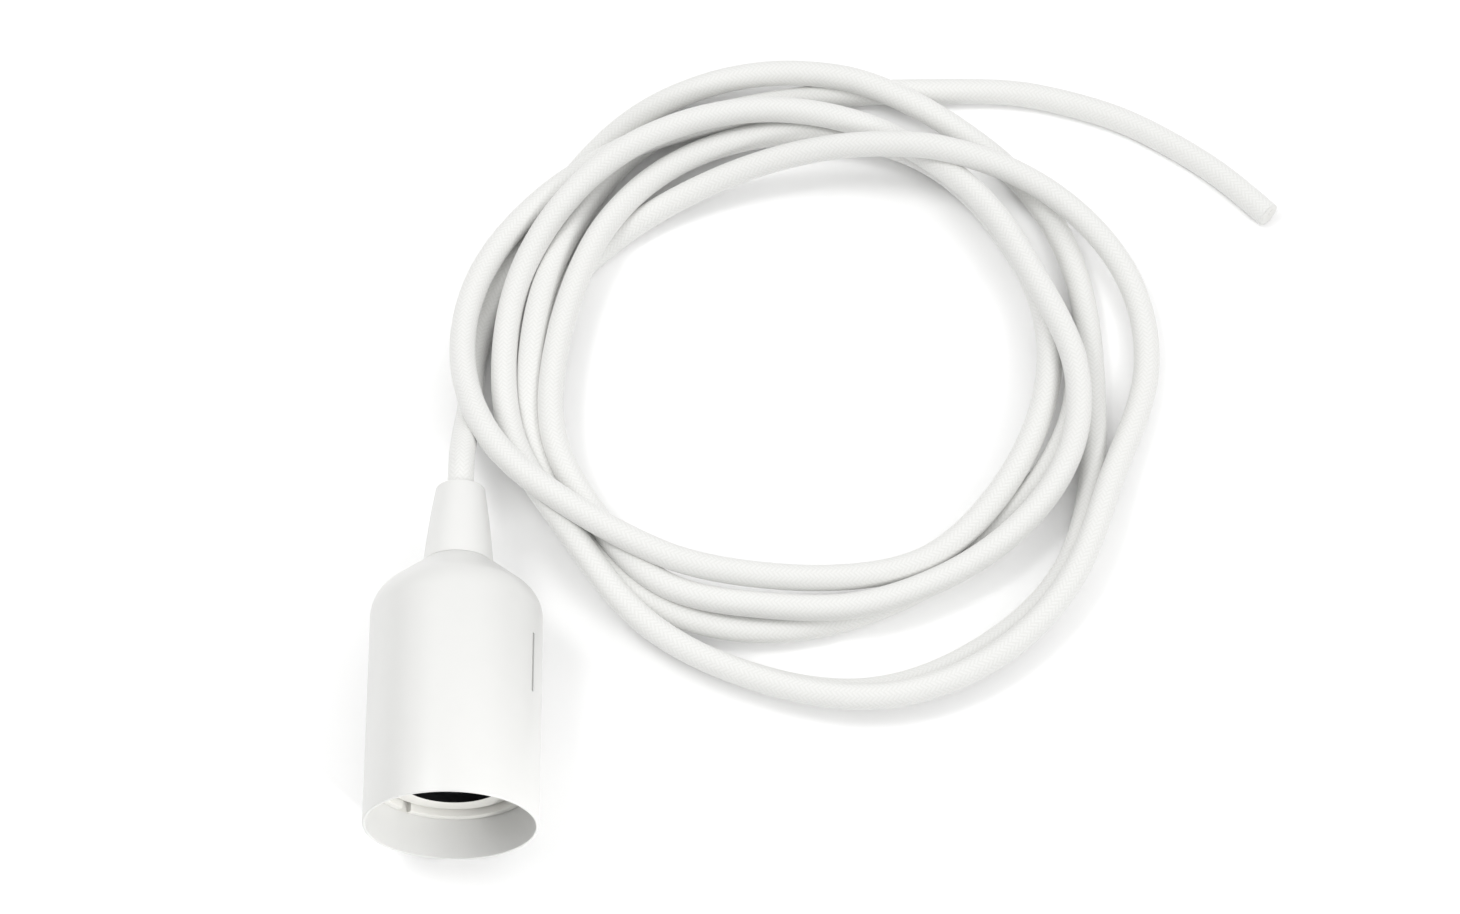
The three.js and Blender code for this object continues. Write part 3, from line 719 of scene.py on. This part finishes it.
# The two pillars beside the bore that the block's screws go into
def pillarPiece():
    turn = np.linspace(0, 2 * np.pi, sleeve["pillarFaces"], endpoint=False)
    centre = sleeve["pillarCircle"]
    points, faces = [], []
    for number, halfTurn in enumerate((0, np.pi)):
        angle = np.radians(sleeve["pillarAngle"]) + halfTurn
        x = centre * np.sin(angle) + sleeve["pillarRadius"] * np.cos(turn)
        z = centre * np.cos(angle) + sleeve["pillarRadius"] * np.sin(turn)
        ring = np.stack([x, np.zeros_like(x), z + holder["radius"]], axis=1)
        both = (sleeve["flangeBack"] - sleeve["pillarSunk"], sleeve["end"])
        ends = [ring + (0, s - collarEnd / 2, 0) for s in both]
        points.append(np.concatenate(ends) * mm)
        start = number * 2 * len(turn)
        faces += (gridFaces(2, len(turn)) + start).tolist()
        faces += [[start + end + k for k in range(len(turn))] for end in (0, len(turn))]
    return meshObject("screw_pillars", np.concatenate(points), faces)


lampSleeve = sleevePiece()
screwPillars = pillarPiece()
print("sleeve made")


# The cord's end, cut square and white all over: the sheath's disc inside the braid, and its two cores
cutEnd = {
    "sheathRadius": 3.1,
    "coreRadius": 1.2,
    "coreOffset": 1.3,
    "proud": 0.1,
    "depth": 0.5,
    "bevel": 0.06,
    "sides": 40,
}


def cutEndPiece():
    middle = cordPath[-1]
    out = cordPath[-1] - cordPath[-2]
    out /= np.linalg.norm(out)
    side = np.cross(out, (0, 0, 1))
    side /= np.linalg.norm(side)
    over = np.cross(side, out)
    turn = np.linspace(0, 2 * np.pi, cutEnd["sides"], endpoint=False)
    circle = np.cos(turn)[:, None] * side + np.sin(turn)[:, None] * over
    discs = [(0, cutEnd["sheathRadius"], cutEnd["proud"])]
    for offset in (-cutEnd["coreOffset"], cutEnd["coreOffset"]):
        discs.append((offset, cutEnd["coreRadius"], 2 * cutEnd["proud"]))
    bevel = cutEnd["bevel"]
    points, faces = [], []
    for offset, radius, proud in discs:
        centre = middle + offset * mm * side
        rings = [
            centre + radius * mm * circle - cutEnd["depth"] * mm * out,
            centre + radius * mm * circle + (proud - bevel) * mm * out,
            centre + (radius - bevel) * mm * circle + proud * mm * out,
        ]
        start = sum(len(p) for p in points)
        points.append(np.concatenate(rings))
        faces += (gridFaces(3, len(turn)) + start).tolist()
        faces += [[start + end + k for k in range(len(turn))] for end in (0, 2 * len(turn))]
    return meshObject("cord_cut_end", np.concatenate(points), faces)


cordEnd = cutEndPiece()
print("cut end made")


def dress(piece, material):
    piece.data.materials.clear()
    piece.data.materials.append(material)


for piece, material in (
    (textileCord, rayonBraid),
    (cordEnd, whitePvc),
    (shell, whiteAbs),
    (gripNut, collarAbs),
    (screwPillars, whitePbt),
):
    dress(piece, material)

nodeMaterials = {
    "outer_shell": whiteAbs,
    "grip_collar": collarAbs,
    "grip_jaw_left": collarAbs,
    "grip_jaw_right": collarAbs,
    "thread_sleeve": whitePbt,
    "contact_block": whitePbt,
    "centre_contact": stampedBrass,
    "shell_contact": stampedBrass,
    "rivet_live": stampedBrass,
    "rivet_neutral": stampedBrass,
    "terminal_live": stampedBrass,
    "terminal_neutral": stampedBrass,
    "terminal_screw_live": zincSteel,
    "terminal_screw_neutral": zincSteel,
    "block_screw_lower": zincSteel,
    "block_screw_upper": zincSteel,
    "conductor_live": strandedCopper,
    "conductor_neutral": strandedCopper,
    "core_live": brownPvc,
    "core_neutral": bluePvc,
    "cord_end_sheath": whitePvc,
    "cord_lead": whitePvc,
    "cord_coil": whitePvc,
    "cord_tail": whitePvc,
}
for nodeName, material in nodeMaterials.items():
    dress(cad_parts[nodeName], material)

for piece in (textileCord, cordEnd, shell, gripNut, lampSleeve, screwPillars):
    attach(piece, "root")
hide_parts("cord_lead", "cord_coil", "cord_tail")
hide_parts("outer_shell")
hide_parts("grip_collar")
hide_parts("thread_sleeve")
print("pieces dressed and placed")

# A white table in a bright white room: a faint light from everywhere, more from the directions below, soft
# lamps at the left and at the right front, and a narrow beam into the mouth
studio = {
    "floorSize": 6.0,
    "floorRoughness": 0.9,
    "floorSpecular": 0.1,
    "floor": "#FEFEFE",
    "world": 0.10,
    "room": [  # (direction, strength), each fading out at right angles to it
        ((0, 0, 1), 0.52), ((0.85, 0, 0.53), 0.46), ((-0.85, 0, 0.53), 0.28), ((0, 0.85, 0.53), 0.56),
        ((0.6, -0.6, 0.53), 0.2),
    ],
    "lights": [
        {"name": "left high", "place": (-0.6, 0.2, 1.4), "size": 0.4, "power": 4.9},
        {"name": "left", "place": (-1.1, 0.2, 1.1), "size": 0.7, "power": 3.0},
        {"name": "front right", "place": (0.8, -0.7, 0.8), "size": 0.3, "power": 2.6},
        {"name": "front right wide", "place": (0.9, -0.8, 1.0), "size": 0.7, "power": 2.6},
        {"name": "mouth", "place": (0.45, -0.62, 0.2), "size": 0.06, "power": 15.0, "beam": 5.0,
         "blend": 0.6, "aim": (0.0, -0.046, 0.02)},
    ],
    "aim": (0.09, 0.06, 0.0),
}


def makeStudio():
    bpy.context.scene.view_settings.view_transform = "Standard"
    half = studio["floorSize"] / 2
    corners = [(-half, -half, 0), (half, -half, 0), (half, half, 0), (-half, half, 0)]
    mesh = bpy.data.meshes.new("table")
    mesh.from_pydata(corners, [], [(0, 1, 2, 3)])
    floor = bpy.data.objects.new("table", mesh)
    bpy.context.scene.collection.objects.link(floor)
    material = newMaterial("white_table", {
        "Base Color": linear(studio["floor"]),
        "Roughness": studio["floorRoughness"],
        "Specular IOR Level": studio["floorSpecular"],
    })[0]
    mesh.materials.append(material)
    world = bpy.data.worlds.new("studio")
    bpy.context.scene.world = world
    world.use_nodes = True
    tree = world.node_tree
    background = tree.nodes["Background"]
    background.inputs["Color"].default_value = (1, 1, 1, 1)
    # the faint light, and for each direction its strength times the square of the cosine of the angle to it
    place = addNode(tree, "ShaderNodeTexCoord")
    total = addNode(tree, "ShaderNodeValue")
    total.outputs[0].default_value = studio["world"]
    for direction, strength in studio["room"]:
        axis = (np.array(direction) / np.linalg.norm(direction)).tolist()
        cosine = addNode(tree, "ShaderNodeVectorMath", {"operation": "DOT_PRODUCT", 1: axis},
                         {0: (place, "Generated")})
        ahead = addNode(tree, "ShaderNodeMath", {"operation": "MAXIMUM", 1: 0.0}, {0: (cosine, "Value")})
        square = addNode(tree, "ShaderNodeMath", {"operation": "POWER", 1: 2.0}, {0: (ahead, 0)})
        total = addNode(tree, "ShaderNodeMath", {"operation": "MULTIPLY_ADD", 1: strength},
                        {0: (square, 0), 2: (total, 0)})
    tree.links.new(total.outputs[0], background.inputs["Strength"])
    for light in studio["lights"]:
        data = bpy.data.lights.new(light["name"], "SPOT" if "beam" in light else "AREA")
        if "beam" in light:
            data.spot_size = np.radians(light["beam"])
            data.spot_blend = light["blend"]
            data.shadow_soft_size = light["size"] / 2
        else:
            data.size = light["size"]
        data.energy = light["power"]
        lamp = bpy.data.objects.new(light["name"], data)
        place = np.array(light["place"])
        target = np.array(light.get("aim", studio["aim"]))
        away = (place - target) / np.linalg.norm(place - target)
        lamp.location = place
        lamp.rotation_euler = (np.arccos(away[2]), 0.0, np.arctan2(away[1], away[0]) + np.pi / 2)
        bpy.context.scene.collection.objects.link(lamp)


makeStudio()
print("studio made")
